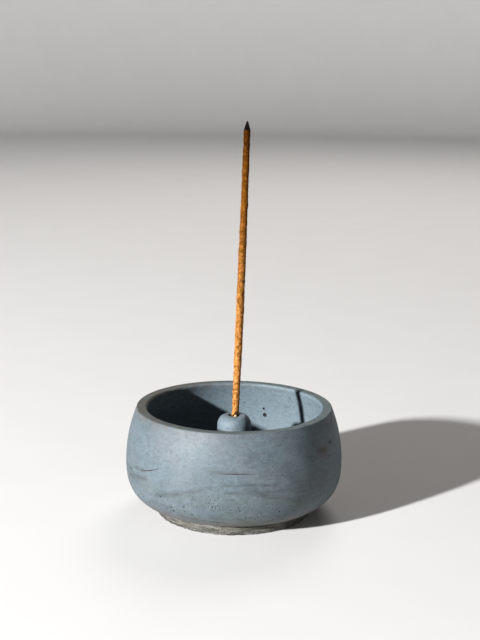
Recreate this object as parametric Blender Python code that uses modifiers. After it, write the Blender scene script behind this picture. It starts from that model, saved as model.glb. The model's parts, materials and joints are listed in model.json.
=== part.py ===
"""A concrete incense burner, modelled at its real size.

A turned concrete bowl stands on a low foot. A small concrete post is stuck to the middle of its
floor, and an incense stick leans a little in the hole in the post. The stick is a bamboo splint
with a rolled coat of incense paste, and its upper end is charred.

Metres, +Z up. The origin is the middle of the foot's underside. The stick leans towards +X.
"""

import math

import bpy

MM = 0.001
GAP = 0.3 * MM  # between pieces that touch

# Bowl
BOWL_HEIGHT = 60.0 * MM
WIDEST_RADIUS = 60.0 * MM
WIDEST_Z = 30.0 * MM
RIM_RADIUS = 54.2 * MM
WALL = 6.0 * MM
FLOOR_Z = 11.0 * MM
FLOOR_RADIUS = 30.7 * MM  # where the wall's lower curve becomes level
LOWER_CURVE_Z = 4.6 * MM  # where the outer lower curve would become level
LOWER_CURVE_POWER = 2.73  # 2 is an ellipse, and more is squarer
FOOT_RADIUS = 42.9 * MM
FOOT_EDGE = 0.5 * MM
SHOULDER = 0.3 * MM  # step from the body in to the foot
RIM_OUTER_ROUND = 0.8 * MM
RIM_INNER_ROUND = 1.5 * MM
THROAT_RADIUS = 48.4 * MM  # the narrowest place, just under the rim

# Post that holds the stick
POST_TOP_Z = 54.4 * MM
POST_RADIUS = 9.4 * MM  # just under the rounded crown
POST_FOOT_RADIUS = 10.4 * MM
POST_EDGE = 0.5 * MM
CROWN_HEIGHT = 5.6 * MM
CROWN_FLAT_RADIUS = 5.0 * MM
CUP_MOUTH_RADIUS = 3.4 * MM
CUP_SIDE_RADIUS = 3.0 * MM
CUP_LIP_DROP = 0.4 * MM  # from the flat of the crown down to the top of the cup's side
CUP_FLOOR_RADIUS = 2.6 * MM
CUP_DEPTH = 1.7 * MM
HOLE_RADIUS = 1.7 * MM
HOLE_BOTTOM_Z = 18.0 * MM

# Adhesive between the post and the floor
ADHESIVE_THICKNESS = 0.8 * MM
ADHESIVE_RADIUS = 11.6 * MM

# Incense stick, in its own frame: Z runs up along the stick from where its line crosses the post's
STICK_LEAN = math.radians(1.7)
STICK_CROSSES_Z = 35.0 * MM
CORE_RADIUS = 0.9 * MM
CORE_BOTTOM = -16.7 * MM
COAT_BOTTOM = 18.4 * MM
COAT_BORE_RADIUS = 1.1 * MM
COAT_BOTTOM_RADIUS = 1.9 * MM
COAT_WIDEST_RADIUS = 2.0 * MM
COAT_WIDEST_SHARE = 0.3  # how far up the coat it is widest
COAT_TOP_RADIUS = 1.65 * MM
TIP_HEIGHT = 5.2 * MM
TIP_END_RADIUS = 0.12 * MM
TIP_BULGE = 0.22  # 0 gives the tip straight sides
STICK_TOP = 181.3 * MM
COAT_TOP = STICK_TOP - TIP_HEIGHT - GAP

ROUND_STEPS = 64
SMALL_ROUND_STEPS = 32
STICK_STEPS = 20


def clear_scene():
    for obj in list(bpy.data.objects):
        bpy.data.objects.remove(obj)


def finish_material(name, colour, roughness):
    """A Principled BSDF of one colour. None of the burner's materials is a metal."""
    material = bpy.data.materials.new(name)
    material.use_nodes = True
    shader = material.node_tree.nodes["Principled BSDF"]
    shader.inputs["Base Color"].default_value = (*colour, 1.0)
    shader.inputs["Roughness"].default_value = roughness
    shader.inputs["Metallic"].default_value = 0.0
    return material


def arc(centre_r, centre_z, radius, start, end, steps):
    """Points of a circular arc in the (r, z) plane, with its angles in degrees."""
    angles = [math.radians(start + (end - start) * i / steps) for i in range(steps + 1)]
    return [(centre_r + radius * math.cos(a), centre_z + radius * math.sin(a)) for a in angles]


def wall_below_widest(wide, level_z, end_share, steps):
    """A quarter superellipse from the widest place down to where the wall becomes level.

    end_share is how much of the quarter turn is used.
    """
    power = 2.0 / LOWER_CURVE_POWER
    points = []
    for i in range(steps + 1):
        turn = math.pi / 2 * end_share * i / steps
        r = FLOOR_RADIUS + (wide - FLOOR_RADIUS) * math.cos(turn) ** power
        z = WIDEST_Z - (WIDEST_Z - level_z) * math.sin(turn) ** power
        points.append((r, z))
    return points


def wall_above_widest(wide, top_r, top_z, steps):
    """A parabola from the widest place up to (top_r, top_z)."""
    shares = [i / steps for i in range(steps + 1)]
    return [(wide - (wide - top_r) * s * s, WIDEST_Z + (top_z - WIDEST_Z) * s) for s in shares]


def foot_end_share():
    """The share of the outer lower curve's quarter turn at which it reaches the foot."""
    reach = (FOOT_RADIUS + SHOULDER - FLOOR_RADIUS) / (WIDEST_RADIUS - FLOOR_RADIUS)
    return math.acos(reach ** (LOWER_CURVE_POWER / 2)) / (math.pi / 2)


def turned(name, profile, material, steps, parent=None):
    """A solid of revolution about Z. The profile is (r, z) points and runs down its outer side."""
    mesh = bpy.data.meshes.new(name)
    edges = [(i, i + 1) for i in range(len(profile) - 1)]
    mesh.from_pydata([(r, 0.0, z) for r, z in profile], edges, [])
    obj = bpy.data.objects.new(name, mesh)
    parts.objects.link(obj)
    screw = obj.modifiers.new("Turn", "SCREW")
    screw.steps = screw.render_steps = steps
    screw.use_merge_vertices = True
    screw.merge_threshold = 0.00001
    screw.use_smooth_shade = True
    obj.parent = parent
    obj.data.materials.append(material)
    return obj


def make_bowl(material):
    """The bowl: floor, inner wall, rim, outer wall and foot as one turned profile."""
    inner_wide = WIDEST_RADIUS - WALL
    throat_z = BOWL_HEIGHT - RIM_INNER_ROUND
    inner_corner = wall_below_widest(inner_wide, FLOOR_Z, 1.0, 9)
    inner_top = wall_above_widest(inner_wide, THROAT_RADIUS, throat_z, 5)
    inner_lip = arc(THROAT_RADIUS + RIM_INNER_ROUND, throat_z, RIM_INNER_ROUND, 180, 90, 3)
    rim_edge_z = BOWL_HEIGHT - RIM_OUTER_ROUND
    outer_lip = arc(RIM_RADIUS - RIM_OUTER_ROUND, rim_edge_z, RIM_OUTER_ROUND, 90, 0, 3)
    outer_top = wall_above_widest(WIDEST_RADIUS, RIM_RADIUS, rim_edge_z, 6)
    outer_corner = wall_below_widest(WIDEST_RADIUS, LOWER_CURVE_Z, foot_end_share(), 10)
    foot_top_z = outer_corner[-1][1]
    foot = [
        (FOOT_RADIUS, foot_top_z),
        (FOOT_RADIUS, FOOT_EDGE),
        (FOOT_RADIUS - FOOT_EDGE, 0.0),
        (FOOT_RADIUS / 2, 0.0),
        (0.0, 0.0),
    ]
    profile = [(0.0, FLOOR_Z), (FLOOR_RADIUS / 2, FLOOR_Z)]
    profile += inner_corner[::-1] + inner_top[1:] + inner_lip[1:]
    profile += outer_lip + outer_top[::-1][1:] + outer_corner[1:] + foot
    return turned("bowl", profile, material, ROUND_STEPS)


def make_adhesive_bed(material):
    """A thin round bed of adhesive with a bulging edge, squeezed out under the post."""
    low = FLOOR_Z + GAP
    bulge = arc(ADHESIVE_RADIUS, low + ADHESIVE_THICKNESS / 2, ADHESIVE_THICKNESS / 2, 90, -90, 6)
    profile = [(0.0, low + ADHESIVE_THICKNESS), *bulge, (0.0, low)]
    return turned("adhesive_bed", profile, material, SMALL_ROUND_STEPS)


def make_holder_post(material):
    """The post: a blind hole with a shallow cup at its mouth, a rounded crown and a slight taper."""
    bottom = FLOOR_Z + ADHESIVE_THICKNESS + 2 * GAP
    cup_floor_z = POST_TOP_Z - CUP_DEPTH
    hole = [(0.0, HOLE_BOTTOM_Z), (HOLE_RADIUS, HOLE_BOTTOM_Z), (HOLE_RADIUS, cup_floor_z)]
    cup = [
        (CUP_FLOOR_RADIUS, cup_floor_z),
        (CUP_SIDE_RADIUS, POST_TOP_Z - CUP_LIP_DROP),
        (CUP_MOUTH_RADIUS, POST_TOP_Z),
    ]
    steps = 8
    crown = []
    for i in range(steps + 1):
        turn = math.pi / 2 * i / steps
        r = CROWN_FLAT_RADIUS + (POST_RADIUS - CROWN_FLAT_RADIUS) * math.sin(turn)
        crown.append((r, POST_TOP_Z - CROWN_HEIGHT * (1 - math.cos(turn))))
    foot = [(POST_FOOT_RADIUS, bottom + POST_EDGE), (POST_FOOT_RADIUS - POST_EDGE, bottom), (0.0, bottom)]
    return turned("holder_post", hole + cup + crown + foot, material, SMALL_ROUND_STEPS)


def make_stick_axis():
    """An empty on the line of the stick, turned to its lean. The stick lifts out along its Z."""
    axis = bpy.data.objects.new("stick_axis", None)
    parts.objects.link(axis)
    axis.location = (0.0, 0.0, STICK_CROSSES_Z)
    axis.rotation_euler = (0.0, STICK_LEAN, 0.0)
    return axis


def make_bamboo_core(material, axis):
    """The splint, bare where it stands in the hole and inside the coat above it."""
    profile = [(0.0, COAT_TOP), (CORE_RADIUS, COAT_TOP), (CORE_RADIUS, CORE_BOTTOM), (0.0, CORE_BOTTOM)]
    return turned("bamboo_core", profile, material, STICK_STEPS, axis)


def coat_radius(share):
    """The coat's radius at a share of its length: it swells a little, then narrows to its top."""
    if share < COAT_WIDEST_SHARE:
        swell = math.sin(math.pi / 2 * share / COAT_WIDEST_SHARE)
        return COAT_BOTTOM_RADIUS + (COAT_WIDEST_RADIUS - COAT_BOTTOM_RADIUS) * swell
    fall = (share - COAT_WIDEST_SHARE) / (1 - COAT_WIDEST_SHARE)
    return COAT_WIDEST_RADIUS - (COAT_WIDEST_RADIUS - COAT_TOP_RADIUS) * fall


def make_incense_coat(material, axis):
    """The rolled coat: a tube around the splint that narrows towards the top."""
    steps = 10
    outside = []
    for i in range(steps + 1):
        share = 1 - i / steps
        outside.append((coat_radius(share), COAT_BOTTOM + (COAT_TOP - COAT_BOTTOM) * share))
    bore = [(COAT_BORE_RADIUS, COAT_BOTTOM), (COAT_BORE_RADIUS, COAT_TOP)]
    profile = [*outside, *bore, outside[0]]
    return turned("incense_coat", profile, material, STICK_STEPS, axis)


def make_charred_tip(material, axis):
    """The burnt end of the coat: a blunt cone whose sides bow out a little."""
    steps = 6
    base = STICK_TOP - TIP_HEIGHT
    sides = []
    for i in range(steps + 1):
        drop = i / steps
        widening = (1 + TIP_BULGE) * drop - TIP_BULGE * drop * drop
        r = TIP_END_RADIUS + (COAT_TOP_RADIUS - TIP_END_RADIUS) * widening
        sides.append((r, STICK_TOP - TIP_HEIGHT * drop))
    profile = [(0.0, STICK_TOP), *sides, (0.0, base)]
    return turned("charred_tip", profile, material, STICK_STEPS, axis)


clear_scene()
parts = bpy.data.collections.new("incense_burner")
bpy.context.scene.collection.children.link(parts)

concrete = finish_material("Cast concrete", (0.19, 0.215, 0.235), 0.6)
adhesive = finish_material("Cement adhesive", (0.26, 0.27, 0.27), 0.85)
bamboo = finish_material("Bamboo", (0.66, 0.45, 0.25), 0.6)
incense = finish_material("Incense paste", (0.48, 0.21, 0.06), 0.9)
char = finish_material("Charred incense", (0.02, 0.017, 0.016), 0.95)

make_bowl(concrete)
make_adhesive_bed(adhesive)
make_holder_post(concrete)
stick_axis = make_stick_axis()
make_bamboo_core(bamboo, stick_axis)
make_incense_coat(incense, stick_axis)
make_charred_tip(char, stick_axis)
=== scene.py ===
import json
import math

import bmesh
import bpy
import numpy as np
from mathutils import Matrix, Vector


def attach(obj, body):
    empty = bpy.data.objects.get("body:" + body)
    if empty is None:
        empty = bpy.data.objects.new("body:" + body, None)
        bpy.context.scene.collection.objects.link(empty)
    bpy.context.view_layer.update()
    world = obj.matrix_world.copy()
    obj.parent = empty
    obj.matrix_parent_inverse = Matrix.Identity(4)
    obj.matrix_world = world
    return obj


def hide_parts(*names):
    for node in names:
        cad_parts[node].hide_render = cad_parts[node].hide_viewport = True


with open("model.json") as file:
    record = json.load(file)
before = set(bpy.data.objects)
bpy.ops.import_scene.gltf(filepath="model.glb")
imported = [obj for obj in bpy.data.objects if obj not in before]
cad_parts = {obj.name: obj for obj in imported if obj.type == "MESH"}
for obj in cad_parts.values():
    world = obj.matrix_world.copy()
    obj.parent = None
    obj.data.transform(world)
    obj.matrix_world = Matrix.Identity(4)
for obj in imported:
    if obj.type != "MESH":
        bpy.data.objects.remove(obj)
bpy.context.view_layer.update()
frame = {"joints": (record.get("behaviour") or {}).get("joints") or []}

# ---------------------------------------------------------------------------------------------
# Bowl. One pour of dark blue-grey concrete, cement with fine sand and pigment, turned out of a
# round mould. Its rim was ground flat by hand and its foot was left coarse. Air has left pits in
# it, and use has scratched it.
# ---------------------------------------------------------------------------------------------
MM = 0.001  # sizes here are in millimetres, and meshes are in metres

BOWL_HEIGHT = 60.0
WIDEST_RADIUS = 60.0
WIDEST_Z = 30.0
WALL = 6.0
FLOOR_Z = 11.0
FLOOR_RADIUS = 30.7  # where the wall's lower curve becomes level
LOWER_CURVE_Z = 4.6
LOWER_CURVE_POWER = 2.73
RIM_RADIUS = 54.2
THROAT_RADIUS = 48.4
RIM_OUTER_ROUND = 0.8
RIM_INNER_ROUND = 1.5
FOOT_RADIUS = 42.9
FOOT_TOP_Z = 5.7
FOOT_EDGE_ROUND = 0.5
PARTING_Z = 6.7  # where the mould's base met its wall
BOWL_COLUMNS = 384
MM_PER_DEGREE = math.pi * WIDEST_RADIUS / 180


def arc(centre_r, centre_z, radius, start, end):
    """Points (r, z) on a circle round a centre, from the start to the end angle in degrees."""
    turn = np.radians(np.linspace(start, end, 60))
    return np.column_stack([centre_r + radius * np.cos(turn), centre_z + radius * np.sin(turn)])


def lower_curve(wide, level_z, turns):
    """Points (r, z) of a wall below its widest place, for turns from 0 there to a quarter turn.

    r is the floor's radius plus the rest times cos(turn) to the power 2/p, and z falls from the
    widest place to the level one with sin(turn) to the same power.
    """
    power = 2 / LOWER_CURVE_POWER
    r = FLOOR_RADIUS + (wide - FLOOR_RADIUS) * np.cos(turns) ** power
    z = WIDEST_Z - (WIDEST_Z - level_z) * np.sin(turns) ** power
    return np.column_stack([r, z])


def upper_curve(wide, top_r, top_z):
    """Points (r, z) up a wall above its widest place: r falls with the square of the height."""
    share = np.linspace(0, 1, 60)
    return np.column_stack([wide - (wide - top_r) * share**2, WIDEST_Z + (top_z - WIDEST_Z) * share])


def spaced(line, spacing):
    """The same line with its points evenly spaced, each about that far from the next one."""
    line = np.asarray(line, float)
    length = np.concatenate([[0], np.cumsum(np.hypot(*np.diff(line, axis=0).T))])
    at = np.linspace(0, length[-1], max(2, round(length[-1] / spacing) + 1))
    return np.column_stack([np.interp(at, length, line[:, 0]), np.interp(at, length, line[:, 1])])


def joined(*stretches):
    """One line from stretches that each start where the one before ended."""
    return np.vstack([stretches[0], *[stretch[1:] for stretch in stretches[1:]]])


quarter = np.linspace(0, math.pi / 2, 600)
throat_z = BOWL_HEIGHT - RIM_INNER_ROUND
rim_edge_z = BOWL_HEIGHT - RIM_OUTER_ROUND
inner_corner = lower_curve(WIDEST_RADIUS - WALL, FLOOR_Z, quarter)[::-1]
inner_wall = upper_curve(WIDEST_RADIUS - WALL, THROAT_RADIUS, throat_z)
inner_lip = arc(THROAT_RADIUS + RIM_INNER_ROUND, throat_z, RIM_INNER_ROUND, 180, 90)
outer_lip = arc(RIM_RADIUS - RIM_OUTER_ROUND, rim_edge_z, RIM_OUTER_ROUND, 90, 0)
outer_wall = upper_curve(WIDEST_RADIUS, RIM_RADIUS, rim_edge_z)[::-1]
outer_corner = lower_curve(WIDEST_RADIUS, LOWER_CURVE_Z, quarter)
outer_corner = outer_corner[outer_corner[:, 0] > FOOT_RADIUS + 0.6]
near_foot = outer_corner[:, 1] < PARTING_Z + 1.2
foot_groove = [outer_corner[-1], (FOOT_RADIUS - 0.2, FOOT_TOP_Z), (FOOT_RADIUS, FOOT_TOP_Z - 0.6)]
foot_edge = arc(FOOT_RADIUS - FOOT_EDGE_ROUND, FOOT_EDGE_ROUND, FOOT_EDGE_ROUND, 0, -90)
bowl_outline = joined(
    spaced([(0, FLOOR_Z), inner_corner[0]], 2.4),
    spaced(inner_corner, 1.3),
    spaced(inner_wall, 1.2),
    spaced(inner_lip, 0.35),
    spaced([inner_lip[-1], outer_lip[0]], 0.5),
    spaced(outer_lip, 0.18),
    spaced(outer_wall, 1.0),
    spaced(outer_corner[~near_foot], 0.9),
    spaced(np.vstack([outer_corner[~near_foot][-1:], outer_corner[near_foot]]), 0.25),
    spaced(foot_groove, 0.3),
    spaced([foot_groove[-1], foot_edge[0]], 0.4),
    spaced(foot_edge, 0.2),
    spaced([foot_edge[-1], (0, 0)], 3.0),
)


def noise(points, size, seed):
    """A smooth random number from -1 to 1 for each point.

    A lattice of random numbers, size apart, is blended between its corners with 3t^2 - 2t^3.
    """
    cells = 64
    table = np.random.default_rng(seed).uniform(-1, 1, (cells, cells, cells))
    place = points / size
    low = np.floor(place).astype(int)
    share = place - low
    share = share * share * (3 - 2 * share)
    total = 0
    for corner in np.ndindex(2, 2, 2):
        weight = np.prod(np.where(corner, share, 1 - share), axis=-1)
        i, j, k = np.moveaxis((low + corner) % cells, -1, 0)
        total = total + weight * table[i, j, k]
    return total


def turned(outline, columns):
    """A grid [row, column, xyz] of the outline turned about Z, and the same grid of its normals.

    The outline runs down its outer side, so the normal is its direction turned a quarter left.
    """
    azimuth = np.linspace(0, 2 * math.pi, columns, endpoint=False)
    slope = np.gradient(outline, axis=0)
    slope /= np.linalg.norm(slope, axis=1)[:, None]

    def carried(r, z):
        level = np.broadcast_to(z[:, None], (len(z), columns))
        return np.stack([r[:, None] * np.cos(azimuth), r[:, None] * np.sin(azimuth), level], axis=-1)

    return carried(outline[:, 0], outline[:, 1]), carried(-slope[:, 1], slope[:, 0])


def grid_faces(rows, columns, poles=True):
    """Faces of a grid of points that closes on itself round its columns.

    With poles its first and last rows are single points. Without, the last row joins the first.
    """
    rings = rows - 2 if poles else rows
    ring = np.arange(rings * columns).reshape(rings, columns) + (1 if poles else 0)
    below = np.roll(ring, -1, axis=0)
    if poles:
        ring, below = ring[:-1], below[:-1]
    right, below_right = np.roll(ring, -1, axis=1), np.roll(below, -1, axis=1)
    faces = np.stack([ring, below, below_right, right], axis=-1).reshape(-1, 4).tolist()
    if poles:
        last = np.full(columns, rings * columns + 1)
        faces += np.stack([0 * last, ring[0], right[0]], axis=-1).tolist()
        faces += np.stack([below[-1], last, below_right[-1]], axis=-1).tolist()
    return faces


def grid_points(grid, poles=True):
    """The grid's points as one list, each pole once."""
    if not poles:
        return grid.reshape(-1, 3)
    return np.vstack([grid[0, :1], grid[1:-1].reshape(-1, 3), grid[-1, :1]])


def mesh_object(name, points, faces, *materials):
    """An object whose mesh has those points, in millimetres, and faces."""
    mesh = bpy.data.meshes.new(name)
    mesh.from_pydata((points * MM).tolist(), [], faces)
    for material in materials:
        mesh.materials.append(material)
    piece = bpy.data.objects.new(name, mesh)
    bpy.context.scene.collection.objects.link(piece)
    return piece


def smooth(piece, sharp_degrees):
    """Smooth shading, except over edges sharper than that."""
    piece.data.shade_smooth()
    piece.data.set_sharp_from_angle(angle=math.radians(sharp_degrees))


def colour(code):
    """Linear RGBA from an sRGB hex code."""
    channels = [int(code[i : i + 2], 16) / 255 for i in (1, 3, 5)]
    return (*[c / 12.92 if c <= 0.04045 else ((c + 0.055) / 1.055) ** 2.4 for c in channels], 1.0)


def node(material, kind, inputs, **settings):
    """Adds a node. inputs gives a socket its value, or a node or an output to link to it."""
    made = material.node_tree.nodes.new("ShaderNode" + kind)
    for name, value in settings.items():
        setattr(made, name, value)
    for socket, value in inputs.items():
        if isinstance(value, bpy.types.Node):
            value = value.outputs[0]
        if isinstance(value, bpy.types.NodeSocket):
            material.node_tree.links.new(value, made.inputs[socket])
        else:
            made.inputs[socket].default_value = value
    return made


def new_material(name):
    """A material, and the node that gives the place on the object in millimetres."""
    material = bpy.data.materials.new(name)
    material.use_nodes = True
    material.node_tree.nodes.clear()
    metres = node(material, "TexCoord", {}).outputs["Object"]
    return material, node(material, "Mapping", {"Vector": metres, "Scale": (1 / MM,) * 3})


def patches(material, in_mm, size, low, high, most=1.0):
    """Patches of a size in millimetres: 0 where noise is below low, rising to most where above high."""
    place = node(material, "Mapping", {"Vector": in_mm, "Scale": [1 / across for across in size]})
    texture = node(material, "TexNoise", {"Vector": place, "Scale": 1.0, "Detail": 4.0, "Roughness": 0.6})
    return node(material, "MapRange", {"Value": texture, "From Min": low, "From Max": high, "To Max": most})


def by_height(material, in_mm, low, high, below=0.0, above=1.0):
    """A number that turns smoothly from one, below the low height, to another, above the high one."""
    height = node(material, "SeparateXYZ", {"Vector": in_mm}).outputs["Z"]
    span = {"Value": height, "From Min": low, "From Max": high, "To Min": below, "To Max": above}
    return node(material, "MapRange", span, interpolation_type="SMOOTHSTEP")


def layered(material, base, layers):
    """The base colour under layers, each given as its amount, where it is, and its colour."""
    for amount, where, tone in layers:
        share = node(material, "Math", {0: amount, 1: where}, operation="MULTIPLY")
        tone = colour(tone) if isinstance(tone, str) else tone
        base = node(material, "MixRGB", {"Fac": share, "Color1": base, "Color2": tone})
    return base


def cast_concrete():
    """Cast concrete, sealed and rubbed: close, cloudy, dull blue-grey, with a soft wide shine.

    Clouds of pigment are about 20 mm wide. Wiping has drawn out streaks 1 mm high and 12 mm long,
    and has left dust low down, up to 16 mm. The mould's parting line is darker, in patches. Sand is
    0.2 to 0.4 mm, drawn at 0.8 mm. The foot is browner, in level layers. The ground rim is brown and
    dark at the back left, painted shade, and a spill has left a brown mark on the wall at the right.
    """
    material, in_mm = new_material("Cast concrete, sealed")
    soiled, inside, stain_and_painted_shade = (
        node(material, "Attribute", {}, attribute_name=name).outputs["Fac"]
        for name in ("soiling", "inside", "stain_and_shade")
    )
    clouds = patches(material, in_mm, (22, 22, 15), 0.4, 0.62)
    green_clouds = patches(material, in_mm, (17, 17, 8), 0.4, 0.6, 0.75)
    low_down = by_height(material, in_mm, 14, 40, 1.0, 0.0)
    dark_clouds = patches(material, in_mm, (13, 13, 11), 0.48, 0.66, 0.55)
    dust = patches(material, in_mm, (3.6, 3.6, 2.4), 0.5, 0.68, 0.3)
    streaks = patches(material, in_mm, (12, 12, 1.4), 0.45, 0.75, 0.22)
    smudges = patches(material, in_mm, (9, 9, 2.4), 0.57, 0.7, 0.35)
    broken_up = patches(material, in_mm, (7, 7, 1.1), 0.3, 0.52)
    low_dust = patches(material, in_mm, (15, 15, 1.6), 0.36, 0.56, 0.85)
    near_foot = by_height(material, in_mm, 8, 16, 1.0, 0.0)
    specks = patches(material, in_mm, (1.2, 1.2, 1.0), 0.64, 0.7, 0.75)
    wall = layered(
        material,
        colour("#4a565c"),
        (
            (clouds, 1.0, "#4f565c"),
            (green_clouds, low_down, "#46514d"),
            (dark_clouds, 1.0, "#3b444a"),
            (inside, 1.0, "#5a676e"),
            (dust, 1.0, "#5d676d"),
            (streaks, 1.0, "#5c676e"),
            (smudges, 1.0, "#34383d"),
            (soiled, broken_up, "#262322"),
            (low_dust, near_foot, "#57514b"),
            (specks, 1.0, "#202325"),
        ),
    )

    casting_layers = patches(material, in_mm, (9, 9, 0.8), 0.42, 0.58)
    grime = patches(material, in_mm, (1.2, 1.2, 0.8), 0.53, 0.6, 0.65)
    foot = layered(material, colour("#5c5b55"), ((casting_layers, 1.0, "#393834"), (grime, 1.0, "#1d1b1a")))
    ground_patches = patches(material, in_mm, (5, 5, 5), 0.4, 0.62)
    ground = layered(material, colour("#485759"), ((ground_patches, 1.0, "#3d484a"),))

    above_foot = by_height(material, in_mm, PARTING_Z - 0.3, PARTING_Z + 0.5)
    from_line = by_height(material, in_mm, PARTING_Z - 0.5, PARTING_Z - 0.1)
    to_line = by_height(material, in_mm, PARTING_Z + 0.1, PARTING_Z + 0.5, 1.0, 0.0)
    on_line = node(material, "Math", {0: from_line, 1: to_line}, operation="MULTIPLY")
    # darker along the mould's parting line, in patches
    line_darkening = patches(material, in_mm, (12, 12, 3), 0.3, 0.6, 0.8)
    on_rim = by_height(material, in_mm, BOWL_HEIGHT - 0.3, BOWL_HEIGHT - 0.08)
    stain_and_shade_patches = patches(material, in_mm, (6, 6, 4), 0.3, 0.55)
    base = layered(
        material,
        foot,
        (
            (above_foot, 1.0, wall),
            (on_line, line_darkening, "#221d1c"),
            (on_rim, 1.0, ground),
            # painted shade on the rim at the back left, and a spill's mark on the wall at the right
            (stain_and_painted_shade, stain_and_shade_patches, "#4a3c30"),
        ),
    )

    mottles = patches(material, in_mm, (2.4, 2.4, 1.8), 0.34, 0.66)
    grains = patches(material, in_mm, (0.8, 0.8, 0.8), 0.34, 0.66)
    for pattern, least, most in ((mottles, 0.91, 1.08), (grains, 0.86, 1.14)):
        shade = node(material, "MapRange", {"Value": pattern, "To Min": least, "To Max": most})
        shaded = {"Fac": 1.0, "Color1": base, "Color2": shade}
        base = node(material, "MixRGB", shaded, blend_type="MULTIPLY")

    # the shader's roughness is lower where the sealer shines, and higher under the dust
    polish = node(material, "MapRange", {"Value": dust, "From Max": 0.3, "To Min": 0.56, "To Max": 0.72})
    coarse = node(material, "Bump", {"Height": mottles, "Strength": 0.2, "Distance": 0.12 * MM})
    grain_bump = {"Height": grains, "Normal": coarse, "Strength": 0.3, "Distance": 0.06 * MM}
    fine = node(material, "Bump", grain_bump)
    finish = {"Base Color": base, "Roughness": polish, "Specular IOR Level": 0.32, "Normal": fine}
    surface = node(material, "BsdfPrincipled", finish)
    node(material, "OutputMaterial", {"Surface": surface})
    return material


def bare_concrete(name, tone, sand):
    """Unsealed concrete where the skin is broken: rough, and dark with what has settled in it."""
    material, in_mm = new_material(name)
    grains = patches(material, in_mm, (0.6, 0.6, 0.6), 0.35, 0.65)
    base = layered(material, colour(tone), ((grains, 1.0, sand),))
    bumps = node(material, "Bump", {"Height": grains, "Strength": 0.6, "Distance": 0.08 * MM})
    finish = {"Base Color": base, "Roughness": 0.85, "Specular IOR Level": 0.2, "Normal": bumps}
    surface = node(material, "BsdfPrincipled", finish)
    node(material, "OutputMaterial", {"Surface": surface})
    return material


bowl_concrete = cast_concrete()
pit_concrete = bare_concrete("Cast concrete, inside its pits", "#121314", "#262829")
scratch_concrete = bare_concrete("Cast concrete, grime in its scratches", "#241a1b", "#3a2f2f")


def bowl_grid():
    """The turned outline, moved along its normals.

    The casting is a little out of true over 50 and 15 mm, and the rim's edges are chipped. The
    parting line is a groove, 0.5 exp(-(d/0.3)^2) deep at the height d from it. The foot steps in
    and out in level layers, and its lower edge has crumbled, most at the bottom: exp(-z/0.7).
    """
    grid, normals = turned(bowl_outline, BOWL_COLUMNS)
    r, z = np.hypot(grid[..., 0], grid[..., 1]), grid[..., 2]
    uneven = 0.12 * noise(grid, 50, 1) + 0.05 * noise(grid, 15, 2)
    uneven *= np.clip(z / 6, 0, 1)
    rim_middle = (RIM_RADIUS + THROAT_RADIUS) / 2
    rim_edges = (z > throat_z + 0.3) & (np.abs(r - rim_middle) > 1.4)
    chips = -0.4 * np.clip(noise(grid, 1.9, 3) - 0.45, 0, None) * rim_edges
    from_line = z - PARTING_Z - 0.15 * noise(grid, 9, 7)
    parting = -0.5 * np.exp(-((from_line / 0.3) ** 2)) * (r > FOOT_RADIUS + 1)
    foot = (np.abs(r - FOOT_RADIUS) < 0.7) & (z < FOOT_TOP_Z + 0.3)
    layers = 0.16 * noise(grid * (0.12, 0.12, 1), 0.8, 4) + 0.12 * noise(grid, 1.2, 5) - 0.12
    crumbled = -0.5 * np.clip(noise(grid, 1.3, 6) + 0.3, 0, None) * np.exp(-z / 0.7)
    depth = uneven + chips + parting + foot * (layers + crumbled)
    grid = grid + normals * depth[..., None]
    grid[..., 2] = np.maximum(grid[..., 2], 0)
    return grid


def on_wall(line, side, azimuth, z):
    """Points on a wall at azimuths (0 in front, 90 at the right) and heights, and its normals.

    line is the wall's (r, z) points from its top down, and side is 1 outside and -1 inside.
    """
    step = 0.2
    levels = (z, z + step, z - step)
    radius, above, below = (np.interp(level, line[::-1, 1], line[::-1, 0]) for level in levels)
    lean = (above - below) / (2 * step)
    turn = np.radians(azimuth)
    level = np.stack([np.sin(turn), -np.cos(turn), 0 * turn], axis=-1)
    up = np.array([0.0, 0.0, 1.0])
    normal = side * (level - lean[..., None] * up)
    normal /= np.linalg.norm(normal, axis=-1)[..., None]
    return level * radius[..., None] + z[..., None] * up, normal


def pit_cutter(places, normals, radii, seed):
    """Points and faces of one uneven ball for each pit.

    A ball's radius varies by noise, and its centre is 0.15 of its radius above the surface.
    """
    rows, columns = 8, 10
    half_turn = np.linspace(0, math.pi, rows)
    ball = grid_points(turned(np.column_stack([np.sin(half_turn), np.cos(half_turn)]), columns)[0])
    askew = (0.31, 0.17, 0.94)  # along no wall's normal
    side = np.cross(normals, askew)
    side /= np.linalg.norm(side, axis=1)[:, None]
    axes = np.stack([side, np.cross(normals, side), normals], axis=1)
    uneven = 1 + 0.22 * noise(ball + 9.7 * places[:, None], 0.9, seed)
    shape = ball * radii[:, None, None] * uneven[..., None]
    points = shape @ axes + (places + 0.15 * radii[:, None] * normals)[:, None]
    return points, grid_faces(rows, columns)


def cut(piece, parts):
    """Cuts closed meshes, given as (list of point sets, faces, material), out of the piece."""
    points, faces, slots, first = [], [], [], 0
    for slot, (point_sets, part_faces, _) in enumerate(parts):
        for point_set in point_sets:
            points.append(point_set)
            faces += [[first + corner for corner in face] for face in part_faces]
            slots += [slot] * len(part_faces)
            first += len(point_set)
    cutter = mesh_object("cutter", np.vstack(points), faces, *[material for _, _, material in parts])
    cutter.data.polygons.foreach_set("material_index", slots)
    shells = bmesh.new()
    shells.from_mesh(cutter.data)
    bmesh.ops.recalc_face_normals(shells, faces=shells.faces)
    shells.to_mesh(cutter.data)
    shells.free()
    boolean = piece.modifiers.new("Cut", "BOOLEAN")
    boolean.operation = "DIFFERENCE"
    boolean.solver = "MANIFOLD"
    boolean.material_mode = "TRANSFER"
    boolean.object = cutter
    whole = piece.evaluated_get(bpy.context.evaluated_depsgraph_get())
    piece.data = bpy.data.meshes.new_from_object(whole)
    piece.modifiers.clear()
    bpy.data.objects.remove(cutter)


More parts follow.
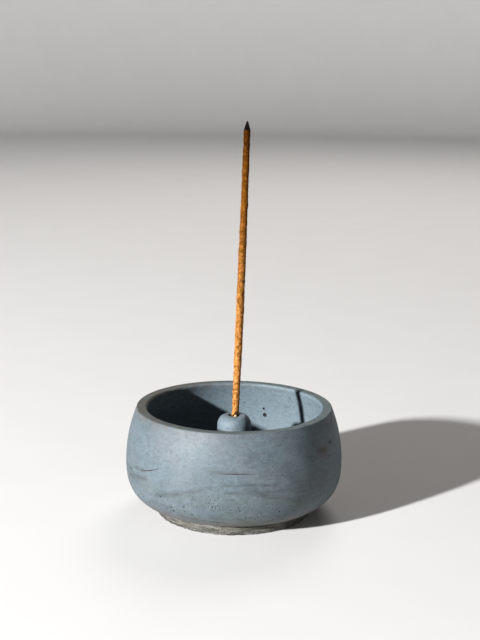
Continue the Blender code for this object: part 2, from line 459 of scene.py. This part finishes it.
outside = joined(outer_wall, outer_corner)
inside = joined(inner_wall[::-1], inner_corner[::-1])
foot_line = np.array([(FOOT_RADIUS, FOOT_TOP_Z), (FOOT_RADIUS, 0.0)])
rng = np.random.default_rng(11)

# the biggest pits: azimuth, height and radius of each
front_pits = np.array(
    [
        (-40.1, 22.7, 0.52),
        (-32.9, 15.8, 0.60),
        (-22.0, 15.4, 0.46),
        (2.8, 21.8, 0.40),
        (3.2, 20.0, 0.46),
        (12.7, 8.6, 0.62),
        (-7.6, 27.1, 0.34),
        (-6.7, 20.4, 0.36),
        (-12.1, 27.4, 0.26),
        (-11.6, 25.8, 0.24),
        (63.0, 47.5, 0.50),
    ]
)
inner_pits = np.array([(160.0, 39.9, 1.3), (160.6, 43.9, 0.9), (148.0, 30.0, 0.5), (173.0, 47.0, 0.4)])
count = 120
small_pits = np.column_stack(
    [
        rng.uniform(0, 360, count),
        8.0 + 20 * rng.beta(1.4, 2.4, count),
        0.24 + 0.3 * rng.beta(1.2, 3.0, count),
    ]
)
count = 22
pit_cluster = np.column_stack(
    [rng.normal(-9.5, 2.6, count), rng.normal(21.5, 1.8, count), rng.uniform(0.2, 0.34, count)]
)
count = 34
hidden_pits = np.column_stack(
    [rng.uniform(0, 360, count), rng.uniform(20, 56, count), 0.25 + 0.4 * rng.beta(1, 3, count)]
)
count = 260
crumbs = np.column_stack(
    [
        np.arange(count) * 360 / count + rng.uniform(-0.6, 0.6, count),
        rng.beta(1.0, 3.5, count) * 2.6,
        rng.uniform(0.22, 0.5, count),
    ]
)
pit_parts = []
for line, side, pits, seed in (
    (outside, 1, front_pits, 21),
    (outside, 1, small_pits, 22),
    (outside, 1, pit_cluster, 26),
    (inside, -1, inner_pits, 23),
    (inside, -1, hidden_pits, 24),
    (foot_line, 1, crumbs, 25),
):
    places, normals = on_wall(line, side, pits[:, 0], pits[:, 1])
    points, faces = pit_cutter(places, normals, pits[:, 2], seed)
    pit_parts.append((points, faces, pit_concrete))


def scratch_cutter(azimuth, z, width, depth):
    """A thin spindle along a path on the outer wall, half sunk: what a scratch takes away.

    Its width and depth swell from nothing at its ends with the root of sin.
    """
    places, normals = on_wall(outside, 1, azimuth, z)
    share = np.linspace(0, 1, len(azimuth))
    swell = np.sqrt(np.sin(math.pi * share)) * (1 + 0.3 * noise(places, 1.5, 31))
    across = np.cross(np.gradient(places, axis=0), normals)
    across /= np.linalg.norm(across, axis=1)[:, None]
    sides = 6
    turn = np.linspace(0, 2 * math.pi, sides, endpoint=False)[:, None]
    grid = places[:, None] + swell[:, None, None] * (
        width / 2 * np.cos(turn) * across[:, None] + depth * np.sin(turn) * normals[:, None]
    )
    return grid_points(grid), grid_faces(len(azimuth), sides)


steps = np.linspace(0, 1, 40)
curved, faces = scratch_cutter(-56.7 + 16.5 * steps, 32.6 + 4.0 * steps + 1.9 * steps**3, 0.7, 0.14)
pit_parts.append(([curved], faces, scratch_concrete))
level, faces = scratch_cutter(-8.5 + 20.5 * steps, 40.1 - 0.2 * steps, 0.44, 0.1)
pit_parts.append(([level], faces, scratch_concrete))

# smudges and stains on the wall: azimuth and height of both ends, half height and darkness
marks = np.array(
    [
        (-44, 22, -12, 32, 1.3, 0.4),
        (-6, 34.5, 22, 33.5, 0.9, 0.5),
        (6, 31, 36, 22, 1.6, 0.4),
        (-4, 30.0, 30, 29.5, 0.8, 0.45),
        (-12, 40.6, 2, 40.2, 0.6, 0.5),
        (-62, 33.0, -52, 33.6, 1.0, 0.5),
        (-30, 13.5, 4, 10.5, 0.7, 0.6),
        (2, 15.5, 12, 9.5, 0.5, 0.5),
        (50, 45.7, 56, 45.4, 1.8, 0.55),
        (62, 47.3, 64, 47.5, 1.0, 0.8),
    ]
)
count = 26
from_azimuth, from_z = rng.uniform(70, 290, count), rng.uniform(10, 50, count)
more_marks = np.column_stack(
    [
        from_azimuth,
        from_z,
        from_azimuth + rng.uniform(4, 34, count),
        from_z + rng.normal(0, 4, count),
        rng.uniform(0.4, 1.6, count),
        rng.uniform(0.2, 0.6, count),
    ]
)


def soiling(places):
    """How soiled each place is: the darkest of the marks there.

    A mark fades as exp(-(d/h)^2), d the distance from its line and h its half height.
    """
    azimuth = np.degrees(np.arctan2(places[:, 0], -places[:, 1])) % 360
    darkest = np.zeros(len(places))
    for from_azimuth, from_z, to_azimuth, to_z, half_height, darkness in np.vstack([marks, more_marks]):
        turn = (azimuth - from_azimuth + 180) % 360 - 180
        along, rise = (to_azimuth - from_azimuth) * MM_PER_DEGREE, to_z - from_z
        x, z = turn * MM_PER_DEGREE, places[:, 2] - from_z
        share = np.clip((x * along + z * rise) / (along**2 + rise**2), 0, 1)
        away = np.hypot(x - share * along, z - share * rise)
        darkest = np.maximum(darkest, darkness * np.exp(-((away / half_height) ** 2)))
    return darkest * (np.hypot(places[:, 0], places[:, 1]) > RIM_RADIUS + 0.3)


grid = bowl_grid()
bowl = mesh_object("bowl_cast", grid_points(grid), grid_faces(*grid.shape[:2]), bowl_concrete)
cut(bowl, pit_parts)
smooth(bowl, 35)
places = np.empty(3 * len(bowl.data.vertices), np.float32)
bowl.data.vertices.foreach_get("co", places)
places = places.reshape(-1, 3) / MM
radii = np.hypot(places[:, 0], places[:, 1])
wall_radii = [np.interp(places[:, 2], line[::-1, 1], line[::-1, 0]) for line in (inside, outside)]
is_inside = (radii < np.mean(wall_radii, axis=0)) & (places[:, 2] > FLOOR_Z - 1)
# painted shade, brown, on the rim at the back left, where it lay in shade, and a spill's brown mark on the
# wall at the right
azimuths = np.degrees(np.arctan2(places[:, 0], -places[:, 1]))
from_back_left = (azimuths + 110 + 180) % 360 - 180
stain_and_painted_shade = 0.7 * np.exp(-((from_back_left / 75) ** 2) - ((BOWL_HEIGHT - places[:, 2]) / 3) ** 2)
stain_and_painted_shade += 0.6 * np.exp(-(((azimuths - 54) / 5) ** 2) - ((places[:, 2] - 44) / 4) ** 2)
for name, values in (("soiling", soiling(places)), ("inside", is_inside), ("stain_and_shade", stain_and_painted_shade)):
    bowl.data.attributes.new(name, "FLOAT", "POINT").data.foreach_set("value", values.astype(np.float32))
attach(bowl, "bowl")
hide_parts("bowl")

# ---------------------------------------------------------------------------------------------
# Adhesive bed. Grey cement adhesive, put on the bowl's floor as a dab and squeezed out by the post
# into an uneven bead round its foot. It dried rough and a little paler than the concrete.
# ---------------------------------------------------------------------------------------------
BEAD_RADIUS = 11.9
BEAD_TOP_Z = 12.9
BED_TOP_Z = 12.1
BED_BOTTOM_Z = 11.3
BEAD_INNER_RADIUS = 10.65
BED_RADIUS = BEAD_INNER_RADIUS - 0.05
BED_COLUMNS = 160


def cement_adhesive():
    """Dried cement adhesive: matt pale grey, mottled over 3 mm, with 0.5 mm grit."""
    material, in_mm = new_material("Cement adhesive, dried")
    over_3_mm = {"Vector": in_mm, "Scale": 1 / 3.0, "Detail": 5.0, "Roughness": 0.65}
    mottles = node(material, "TexNoise", over_3_mm)
    share = node(material, "MapRange", {"Value": mottles, "From Min": 0.35, "From Max": 0.65})
    base = layered(material, colour("#7e8180"), ((share, 1.0, "#93958f"),))
    grit = node(material, "TexNoise", {"Vector": in_mm, "Scale": 1 / 0.5, "Detail": 2.0})
    bumps = node(material, "Bump", {"Height": grit, "Strength": 0.5, "Distance": 0.1 * MM})
    finish = {"Base Color": base, "Roughness": 0.9, "Specular IOR Level": 0.3, "Normal": bumps}
    surface = node(material, "BsdfPrincipled", finish)
    node(material, "OutputMaterial", {"Surface": surface})
    return material


# the bead's section is a quarter of an ellipse, and its edge wanders in and out over 5 and 1.3 mm
bead_turn = np.radians(np.linspace(90, 0, 14))
bead = np.column_stack(
    [
        BEAD_INNER_RADIUS + (BEAD_RADIUS - BEAD_INNER_RADIUS) * np.cos(bead_turn),
        BED_BOTTOM_Z + (BEAD_TOP_Z - BED_BOTTOM_Z) * np.sin(bead_turn),
    ]
)
bed_outline = joined(
    spaced([(0, BED_TOP_Z), (BED_RADIUS, BED_TOP_Z)], 1.5),
    spaced([(BED_RADIUS, BED_TOP_Z), bead[0]], 0.3),
    bead,
    spaced([bead[-1], (0, BED_BOTTOM_Z)], 1.5),
)
grid, normals = turned(bed_outline, BED_COLUMNS)
outer = np.clip(np.hypot(grid[..., 0], grid[..., 1]) - BEAD_INNER_RADIUS, 0, 1)
spread = outer * (0.55 * noise(grid * (1, 1, 0.2), 5.0, 41) + 0.2 * noise(grid, 1.3, 42))
grid[..., :2] *= (1 + spread / BEAD_RADIUS)[..., None]
adhesive = mesh_object("adhesive_bead", grid_points(grid), grid_faces(*grid.shape[:2]), cement_adhesive())
smooth(adhesive, 45)
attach(adhesive, "bowl")
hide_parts("adhesive_bed")

# ---------------------------------------------------------------------------------------------
# Holder post. A small casting of the same concrete, poured round a pin that left the hole for the
# stick. Its crown was rounded by hand, and the hole's mouth broke out into a shallow crater.
# ---------------------------------------------------------------------------------------------
POST_BOTTOM_Z = 12.4
POST_TOP_Z = 54.4
POST_RADIUS = 9.4
POST_FOOT_RADIUS = 10.4
POST_EDGE = 0.5
CROWN_HEIGHT = 5.6
CROWN_FLAT_RADIUS = 5.0
CRATER_RADIUS = 3.4
CRATER_FLOOR_RADIUS = 3.0
CRATER_FLOOR_Z = 51.7
HOLE_RADIUS = 1.7
HOLE_BOTTOM_Z = 18.0
POST_COLUMNS = 168

crown = np.column_stack(
    [
        CROWN_FLAT_RADIUS + (POST_RADIUS - CROWN_FLAT_RADIUS) * np.sin(quarter),
        POST_TOP_Z - CROWN_HEIGHT * (1 - np.cos(quarter)),
    ]
)
crater = [
    (HOLE_RADIUS, CRATER_FLOOR_Z),
    (CRATER_FLOOR_RADIUS, CRATER_FLOOR_Z + 0.1),
    (CRATER_RADIUS, POST_TOP_Z - 0.25),
]
post_foot = [(POST_FOOT_RADIUS, POST_BOTTOM_Z + POST_EDGE), (POST_FOOT_RADIUS - POST_EDGE, POST_BOTTOM_Z)]
post_outline = joined(
    spaced([(0, HOLE_BOTTOM_Z), (HOLE_RADIUS, HOLE_BOTTOM_Z)], 0.85),
    spaced([(HOLE_RADIUS, HOLE_BOTTOM_Z), crater[0]], 1.5),
    spaced(crater[:2], 0.25),
    spaced(crater[1:], 0.2),
    spaced([crater[-1], (CRATER_RADIUS + 0.3, POST_TOP_Z)], 0.15),
    spaced([(CRATER_RADIUS + 0.3, POST_TOP_Z), crown[0]], 0.35),
    spaced(crown, 0.35),
    spaced([crown[-1], post_foot[0]], 0.7),
    spaced(post_foot, 0.35),
    spaced([post_foot[1], (0, POST_BOTTOM_Z)], 2.0),
)


def post_grid():
    """The turned outline, moved along its normals.

    The crown is uneven over 6 and 2 mm, its right side stands a little higher, and the crater's
    edge wanders in and out. The hole and the underside stay true.
    """
    grid, normals = turned(post_outline, POST_COLUMNS)
    x, y, z = np.moveaxis(grid, -1, 0)
    r = np.hypot(x, y)
    outer = np.clip(r - HOLE_RADIUS - 0.6, 0, 1) * np.clip((z - POST_BOTTOM_Z - 1.5) / 2, 0, 1)
    uneven = outer * (0.16 * noise(grid, 6, 51) + 0.06 * noise(grid, 2.1, 52) + 0.02 * noise(grid, 0.8, 53))
    on_top = np.clip(z - POST_TOP_Z + 1.2, 0, 1) * (r > CRATER_FLOOR_RADIUS)
    raised = 0.3 * on_top * np.exp(-(((x - 5.0) / 2.2) ** 2) - ((y + 0.5) / 4.5) ** 2)
    broken = -0.3 * on_top * np.clip(noise(grid, 1.7, 54) + 0.1, 0, None) * (r < CRATER_RADIUS + 1.2)
    return grid + normals * (uneven + raised + broken)[..., None]


grid = post_grid()
post = mesh_object("post_cast", grid_points(grid), grid_faces(*grid.shape[:2]), bowl_concrete)
count = 26
post_pits = np.column_stack(
    [rng.uniform(0, 360, count), rng.uniform(16, 53, count), 0.18 + 0.3 * rng.beta(1, 3, count)]
)
post_line = joined(crown, [crown[-1], (POST_FOOT_RADIUS, POST_BOTTOM_Z)])
places, normals = on_wall(post_line, 1, post_pits[:, 0], post_pits[:, 1])
points, faces = pit_cutter(places, normals, post_pits[:, 2], 55)
cut(post, [(points, faces, pit_concrete)])
smooth(post, 40)
inside_all = np.ones(len(post.data.vertices), np.float32)
post.data.attributes.new("inside", "FLOAT", "POINT").data.foreach_set("value", inside_all)
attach(post, "bowl")
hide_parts("holder_post")

# ---------------------------------------------------------------------------------------------
# Bamboo core. A split and shaved bamboo splint, bare at its lower end, where it stands in the
# hole, and coated above. Its fibres run along it and its section is not quite round.
# ---------------------------------------------------------------------------------------------
STICK_CROSSES_Z = 35.0  # where the stick's line crosses the post's
CORE_RADIUS = 0.9
CORE_BOTTOM = -16.7  # heights along the stick are counted from that crossing
COAT_BOTTOM = 18.4
TIP_BOTTOM = 176.1
STICK_TOP = 181.3
STICK_BOW = 0.22
CORE_EDGE = 0.15
CORE_COLUMNS = 56

stick_axis = np.array(frame["joints"][0]["axis"])


def stick_place(grid):
    """Moves a grid made along Z to the stick's line, which leans and bows a little to the right.

    The bow is a half wave of sine from the coat's lower end to the tip.
    """
    share = np.clip((grid[..., 2] - COAT_BOTTOM) / (STICK_TOP - COAT_BOTTOM), 0, 1)
    right = np.array([stick_axis[2], 0, -stick_axis[0]])
    sideways = grid[..., :1] + (STICK_BOW * np.sin(math.pi * share))[..., None]
    crossing = np.array([0, 0, STICK_CROSSES_Z])
    return crossing + sideways * right + grid[..., 1:2] * (0, 1, 0) + grid[..., 2:] * stick_axis


def split_bamboo():
    """Bamboo splint: pale straw, its fibres 0.1 mm wide drawn at 0.2 mm, running along the stick."""
    material, in_mm = new_material("Split bamboo")
    lean = math.atan2(stick_axis[0], stick_axis[2])
    upright = node(material, "Mapping", {"Vector": in_mm, "Rotation": (0, -lean, 0)})
    drawn = node(material, "Mapping", {"Vector": upright, "Scale": (1 / 0.2, 1 / 0.2, 1 / 9.0)})
    fibres = node(material, "TexNoise", {"Vector": drawn, "Scale": 1.0, "Detail": 3.0})
    share = node(material, "MapRange", {"Value": fibres, "From Min": 0.35, "From Max": 0.65})
    base = layered(material, colour("#c79a62"), ((share, 1.0, "#e6c694"),))
    bumps = node(material, "Bump", {"Height": fibres, "Strength": 0.4, "Distance": 0.05 * MM})
    finish = {"Base Color": base, "Roughness": 0.6, "Specular IOR Level": 0.4, "Normal": bumps}
    surface = node(material, "BsdfPrincipled", finish)
    node(material, "OutputMaterial", {"Surface": surface})
    return material


# coarse inside the coat, and finer where the splint is bare
core_top, coated, bare = TIP_BOTTOM - 1, COAT_BOTTOM + 4, CORE_BOTTOM + CORE_EDGE
core_outline = joined(
    spaced([(0, core_top), (CORE_RADIUS, core_top)], 0.45),
    spaced([(CORE_RADIUS, core_top), (CORE_RADIUS, coated)], 4.0),
    spaced([(CORE_RADIUS, coated), (CORE_RADIUS, bare)], 0.5),
    spaced([(CORE_RADIUS, bare), (CORE_RADIUS - CORE_EDGE, CORE_BOTTOM)], 0.2),
    spaced([(CORE_RADIUS - CORE_EDGE, CORE_BOTTOM), (0, CORE_BOTTOM)], 0.4),
)
# the splint is a little flattened on four sides, by 1 - cos(4 turn), and grooved along its fibres
grid, normals = turned(core_outline, CORE_COLUMNS)
around = np.arctan2(grid[..., 1], grid[..., 0])
squareness = -0.04 * (1 - np.cos(4 * around + 0.7))
fibre_grooves = -0.03 * np.clip(noise(grid * (1, 1, 0.03), 0.16, 61), 0, None)
shaved = 0.03 * noise(grid * (1, 1, 0.15), 0.9, 62)
on_side = np.hypot(grid[..., 0], grid[..., 1]) > 0.5
grid = grid + normals * ((squareness + fibre_grooves + shaved) * on_side)[..., None]
splint_faces = grid_faces(*grid.shape[:2])
core = mesh_object("bamboo_splint", grid_points(stick_place(grid)), splint_faces, split_bamboo())
smooth(core, 50)
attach(core, "stick")
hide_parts("bamboo_core")

# ---------------------------------------------------------------------------------------------
# Incense coat. Masala paste, sawdust and gum with ground spice, rolled on round the splint by hand
# and dried. It is lumpy and grainy, specked dark, and its lower end has crumbled off in front.
# ---------------------------------------------------------------------------------------------
COAT_BORE_RADIUS = 1.1
COAT_TOP = TIP_BOTTOM - 0.02
COAT_ROW = 0.22
COAT_COLUMNS = 56
COAT_MEAN_RADIUS = 2.0


def coat_radius(share):
    """The coat flares at its torn end, swells to its widest a third of the way up, and narrows."""
    up = [0, 0.03, 0.12, 0.25, 0.4, 0.6, 0.8, 1]
    return np.interp(share, up, [2.06, 1.95, 2.0, 2.16, 2.16, 2.06, 1.88, 1.78])


def azimuth_from_front(grid):
    """Degrees round the stick, 0 in front and 90 at the right."""
    return np.degrees(np.arctan2(grid[..., 0], -grid[..., 1]))


# dark specks and hollows in the paste: azimuth, height along the stick, radius and depth
coat_specks = np.array(
    [
        (-15, 107, 0.42, 0.3),
        (38, 67, 0.5, 0.34),
        (25, 78, 0.7, 0.12),
        (9, 29.8, 0.4, 0.2),
        (70, 135, 0.45, 0.3),
    ]
)


def coat_grid():
    """A tube round the splint, outside downwards and bore upwards, moved along its normals.

    Hand rolling left lumps over 5 and 2 mm, low ridges that wind round, and grains under 1 mm. Each
    speck is a dent that fades as exp(-(1.6 d/r)^2) at the distance d. The lower end is torn: its
    edge rises in front by 3 mm. The grains' height is also given, as the relief, and it is -1 on
    the torn edge.
    """
    share = np.linspace(1, 0, round((COAT_TOP - COAT_BOTTOM) / COAT_ROW))
    outer = np.column_stack([coat_radius(share), COAT_BOTTOM + (COAT_TOP - COAT_BOTTOM) * share])
    bore_bottom, bore_top = (COAT_BORE_RADIUS, COAT_BOTTOM), (COAT_BORE_RADIUS, COAT_TOP)
    outline = joined(
        outer,
        spaced([outer[-1], bore_bottom], 0.2),
        spaced([bore_bottom, bore_top], 2.0),
        spaced([bore_top, outer[0]], 0.3)[:-1],
    )
    grid, normals = turned(outline, COAT_COLUMNS)
    height = grid[..., 2]
    on_outside = (np.arange(len(outline)) < len(outer))[:, None] * 1.0

    wind = np.radians(8.0) * height
    x, y = grid[..., 0], grid[..., 1]
    cos, sin = np.cos(wind), np.sin(wind)
    wound = np.stack([x * cos - y * sin, x * sin + y * cos, height * 0.3], axis=-1)
    lumps = 0.12 * noise(grid, 5.0, 71) + 0.1 * noise(grid, 1.9, 72) + 0.07 * noise(wound, 0.9, 73)
    grains = 0.1 * noise(grid, 0.9, 74) + 0.05 * noise(grid, 0.5, 75)
    from_front = azimuth_from_front(grid)
    for azimuth, level, radius, depth in coat_specks:
        across = np.radians((from_front - azimuth + 180) % 360 - 180) * COAT_MEAN_RADIUS
        grains -= depth * np.exp(-(across**2 + (height - level) ** 2) / (radius / 1.6) ** 2)
    grid = grid + normals * ((lumps + grains) * on_outside)[..., None]

    torn = 0.6 + 2.9 * np.exp(-(((from_front - 22) / 55) ** 2)) + 0.5 * noise(grid * (1, 1, 0), 0.8, 76)
    near_end = np.clip(1 - (height - COAT_BOTTOM) / 5.0, 0, 1)
    grid[..., 2] += np.clip(torn, 0, None) * near_end
    # the relief also carries painted shade: -1 makes the torn edge as dark as the deepest hollow
    relief = np.where(height < COAT_BOTTOM + 0.3, -1.0, grains / 0.14)
    return grid, relief


def masala_paste():
    """Dried masala paste: matt golden brown, painted shade dark and red in its hollows, dust and a painted
    highlight on its crests.

    Its relief is an attribute, below 0 in hollows and above 0 on crests. Tan and olive flecks of
    ground spice are about 1.5 mm, and its finest grains 0.3 mm, drawn at 0.75 mm. It is darker
    higher up, as painted shade, and darker still at the upper end, painted shade too.
    """
    material, in_mm = new_material("Masala incense paste, dried")
    relief = node(material, "Attribute", {}, attribute_name="relief").outputs["Fac"]
    # painted shade in the hollows and on the torn edge, where the specks' dents take it too, and dust with
    # a painted highlight on the crests
    hollow_share = {"Value": relief, "From Min": 0.0, "From Max": -0.8, "To Max": 0.85}
    crest_share = {"Value": relief, "From Min": 0.15, "From Max": 0.8, "To Max": 0.5}
    hollows = node(material, "MapRange", hollow_share)
    crests = node(material, "MapRange", crest_share)
    tan_flecks = patches(material, in_mm, (1.5, 1.5, 2.0), 0.45, 0.62, 0.7)
    olive_flecks = patches(material, in_mm, (1.4, 1.4, 1.8), 0.56, 0.66, 0.5)
    grains = patches(material, in_mm, (0.75, 0.75, 0.75), 0.37, 0.63)
    shade = node(material, "MapRange", {"Value": grains, "To Min": 0.55, "To Max": 1.34})

    # painted shade: the paste, its flecks and its crests all darken higher up the stick
    higher = by_height(material, in_mm, 58, 185)
    paste, spice, crest_dust_and_highlight = (
        node(material, "MixRGB", {"Fac": higher, "Color1": colour(low), "Color2": colour(high)})
        for low, high in (("#a06a2f", "#573306"), ("#b87c4c", "#6e3d10"), ("#c4935e", "#7c5020"))
    )
    base = layered(
        material,
        paste,
        (
            (tan_flecks, 1.0, spice),
            (olive_flecks, 1.0, "#4c4210"),
            (crests, 1.0, crest_dust_and_highlight),
            (hollows, 1.0, "#2e1306"),
        ),
    )
    base = node(material, "MixRGB", {"Fac": 1.0, "Color1": base, "Color2": shade}, blend_type="MULTIPLY")
    # painted shade: darker still at the upper end, below the tip
    top_shading = {"Fac": 1.0, "Color1": base, "Color2": colour("#a0956c")}
    shaded_top = node(material, "MixRGB", top_shading, blend_type="MULTIPLY")
    base = layered(material, base, ((by_height(material, in_mm, 175, 212), 1.0, shaded_top),))
    bumps = node(material, "Bump", {"Height": grains, "Strength": 0.6, "Distance": 0.2 * MM})
    finish = {"Base Color": base, "Roughness": 0.95, "Specular IOR Level": 0.03, "Normal": bumps}
    surface = node(material, "BsdfPrincipled", finish)
    node(material, "OutputMaterial", {"Surface": surface})
    return material


grid, relief = coat_grid()
coat_points, coat_faces = grid_points(stick_place(grid), False), grid_faces(*grid.shape[:2], False)
coat = mesh_object("incense_paste", coat_points, coat_faces, masala_paste())
coat.data.attributes.new("relief", "FLOAT", "POINT").data.foreach_set("value", relief.ravel())
smooth(coat, 60)
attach(coat, "stick")
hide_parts("incense_coat")

# ---------------------------------------------------------------------------------------------
# Charred tip. The end of the coat after the ember went out: burnt to a blunt black cone, rough and
# cracked, with a thin film of ash on it and a ragged edge where the burning stopped.
# ---------------------------------------------------------------------------------------------
TIP_BASE_RADIUS = 1.8
TIP_END_RADIUS = 0.45
TIP_END_HEIGHT = 0.3
TIP_ROWS, TIP_COLUMNS = 48, 56


def tip_grid():
    """A cone whose sides bow out, with a collar at its foot, moved along its normals.

    Its radius widens as 1.4 d - 0.4 d^2, d being the share of the way down. Cracks run where noise
    is near 0. They and the roughness get smaller towards the end.
    """
    down = np.linspace(0, 1, TIP_ROWS)
    widening = 1.4 * down - 0.4 * down**2
    r = TIP_END_RADIUS + (TIP_BASE_RADIUS - TIP_END_RADIUS) * widening
    cone_top = STICK_TOP - TIP_END_HEIGHT
    sides = np.column_stack([r, cone_top - (cone_top - TIP_BOTTOM) * down])
    end_r, end_z = TIP_END_RADIUS * np.array([0, 0.5, 0.85]), STICK_TOP - np.array([0, 0.05, 0.15])
    end = np.column_stack([end_r, end_z])
    outline = joined([*end, sides[0]], sides, spaced([sides[-1], (0, TIP_BOTTOM)], 0.4))
    grid, normals = turned(outline, TIP_COLUMNS)
    level = grid[..., 2]
    size = np.clip(np.hypot(grid[..., 0], grid[..., 1]) / 0.8, 0.15, 1)
    cracks = -0.12 * np.exp(-((noise(grid, 0.7, 81) / 0.12) ** 2))
    rough = 0.12 * noise(grid, 1.1, 82) + 0.07 * noise(grid, 0.45, 83) + cracks
    collar = 0.06 * np.exp(-(((level - TIP_BOTTOM - 0.7) / 0.4) ** 2))
    above_base = level > TIP_BOTTOM + 0.01
    return grid + normals * (above_base * (size * rough + collar))[..., None]


def char_and_ash():
    """Charred paste: black and quite matt, with a brown-grey film of ash in patches 1 mm wide.

    At its foot is a ragged band, under 1 mm high, that was only scorched brown.
    """
    material, in_mm = new_material("Charred paste with ash")
    over_1_mm = {"Vector": in_mm, "Scale": 1.0, "Detail": 4.0, "Roughness": 0.65}
    blotches = node(material, "TexNoise", over_1_mm)
    ash_share = {"Value": blotches, "From Min": 0.42, "From Max": 0.68, "To Max": 0.3}
    ashy = node(material, "MapRange", ash_share)
    above_collar = by_height(material, in_mm, 212.6, 213.6)
    scorched = layered(material, colour("#1c0d02"), ((ashy, 1.0, "#6a3f0c"),))
    burnt = layered(material, colour("#080505"), ((ashy, above_collar, "#32251f"),))
    up_the_foot = by_height(material, in_mm, 211.1, 212.3)
    edge = node(material, "Math", {0: up_the_foot, 1: blotches}, operation="ADD")
    past_edge = node(material, "MapRange", {"Value": edge, "From Min": 0.85, "From Max": 1.05})
    base = layered(material, scorched, ((past_edge, 1.0, burnt),))
    bumps = node(material, "Bump", {"Height": blotches, "Strength": 0.6, "Distance": 0.1 * MM})
    finish = {"Base Color": base, "Roughness": 0.95, "Specular IOR Level": 0.03, "Normal": bumps}
    surface = node(material, "BsdfPrincipled", finish)
    node(material, "OutputMaterial", {"Surface": surface})
    return material


grid = tip_grid()
tip_faces = grid_faces(*grid.shape[:2])
tip = mesh_object("burnt_end", grid_points(stick_place(grid)), tip_faces, char_and_ash())
smooth(tip, 50)
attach(tip, "stick")
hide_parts("charred_tip")

# ---------------------------------------------------------------------------------------------
# Studio. A pale floor that curves up far away, a soft key light low at the front left, a weaker
# fill, and a camera a little above the bowl.
# ---------------------------------------------------------------------------------------------
FLOOR_FLAT_RADIUS = 3000.0
FLOOR_CURVE = 900.0
FLOOR_THICKNESS = 20.0
FLOOR_COLUMNS = 96
LIGHTS_AIM_Z = 0.04  # in metres, as are the lights' and the camera's places


def painted_floor():
    """Matt white studio paint, with a faint unevenness from the roller, 60 mm wide."""
    material, in_mm = new_material("Matt studio paint")
    rolled = node(material, "TexNoise", {"Vector": in_mm, "Scale": 1 / 60, "Detail": 2.0})
    base = layered(material, colour("#cfcecd"), ((rolled, 1.0, "#d4d3d2"),))
    finish = {"Base Color": base, "Roughness": 0.9, "Specular IOR Level": 0.3}
    surface = node(material, "BsdfPrincipled", finish)
    node(material, "OutputMaterial", {"Surface": surface})
    return material


inner_edge = FLOOR_FLAT_RADIUS + FLOOR_CURVE
outer_edge = inner_edge + FLOOR_THICKNESS
floor_outline = joined(
    spaced([(0, 0), (FLOOR_FLAT_RADIUS, 0)], 250),
    arc(FLOOR_FLAT_RADIUS, FLOOR_CURVE, FLOOR_CURVE, -90, 0),
    [(inner_edge, FLOOR_CURVE), (outer_edge, FLOOR_CURVE)],
    [(outer_edge, FLOOR_CURVE), (outer_edge, -FLOOR_THICKNESS), (0, -FLOOR_THICKNESS)],
)
grid, normals = turned(floor_outline, FLOOR_COLUMNS)
floor = mesh_object("studio_floor", grid_points(grid), grid_faces(*grid.shape[:2]), painted_floor())
smooth(floor, 30)


def soft_light(name, azimuth, elevation, distance, size, irradiance, tint):
    """A round soft light aimed at the bowl, from an azimuth of 0 in front and 90 at the right.

    Its power gives that irradiance there, in W/m2: power = irradiance pi distance^2.
    """
    light = bpy.data.lights.new(name, "AREA")
    light.shape = "DISK"
    light.size = size
    light.energy = irradiance * math.pi * distance**2
    light.color = colour(tint)[:3]
    lamp = bpy.data.objects.new(name, light)
    bpy.context.scene.collection.objects.link(lamp)
    turn, rise = math.radians(azimuth), math.radians(elevation)
    toward = Vector((math.sin(turn) * math.cos(rise), -math.cos(turn) * math.cos(rise), math.sin(rise)))
    lamp.location = Vector((0, 0, LIGHTS_AIM_Z)) + distance * toward
    lamp.rotation_euler = toward.to_track_quat("Z", "Y").to_euler()
    lamp.visible_camera = False


soft_light("key_light", azimuth=-48, elevation=18, distance=3.0, size=0.13, irradiance=10.8, tint="#ffffff")
soft_light("fill_light", azimuth=165, elevation=42, distance=2.5, size=1.2, irradiance=1.0, tint="#fffaf4")

world = bpy.data.worlds.new("Studio")
world.use_nodes = True
background = world.node_tree.nodes["Background"]
background.inputs["Color"].default_value = (1, 1, 1, 1)
background.inputs["Strength"].default_value = 0.09
bpy.context.scene.world = world

view_direction = Vector((0.00367, 0.97775, -0.20973))
roll = 0.011
camera_data = bpy.data.cameras.new("Camera")
camera_data.lens = 72.8
camera_data.sensor_width = 36
camera = bpy.data.objects.new("Camera", camera_data)
bpy.context.scene.collection.objects.link(camera)
camera.location = (0, -0.6925, 0.2569)
camera.rotation_euler = view_direction.to_track_quat("-Z", "Y").to_euler()
camera.rotation_euler.rotate_axis("Z", roll)
bpy.context.scene.camera = camera
bpy.context.scene.view_settings.view_transform = "Standard"
